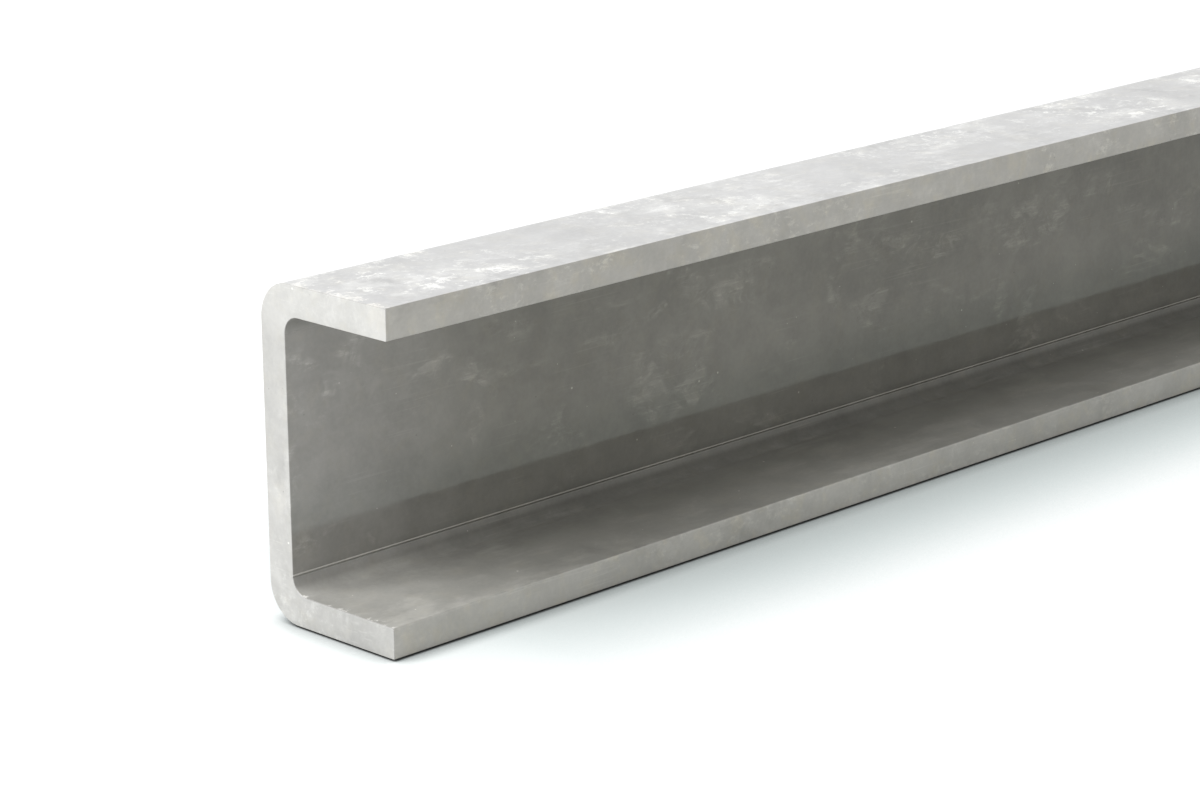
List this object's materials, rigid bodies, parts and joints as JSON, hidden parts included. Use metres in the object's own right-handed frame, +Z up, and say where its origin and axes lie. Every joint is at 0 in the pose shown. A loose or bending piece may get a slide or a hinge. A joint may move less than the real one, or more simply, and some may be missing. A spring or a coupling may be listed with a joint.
{
  "type": "u-channel",
  "caption": "Plain steel U-channel bar with a tall web, equal flanges, rounded bends and square saw-cut ends, used as raw stock or as an open guide rail.",
  "frame": {"origin": "middle of the length and of the depth, on the underside of the lower flange", "axes": "+X along the bar, +Y out of the open side, +Z up from the lower flange to the upper one"},
  "size_m": [1, 0.034, 0.065],
  "materials": {
    "steel": "bare zinc-grey mill finish, dull, with pale smears and fine scratches"
  },
  "bodies": {
    "root": {"u_channel": "steel"}
  },
  "joints": []
}
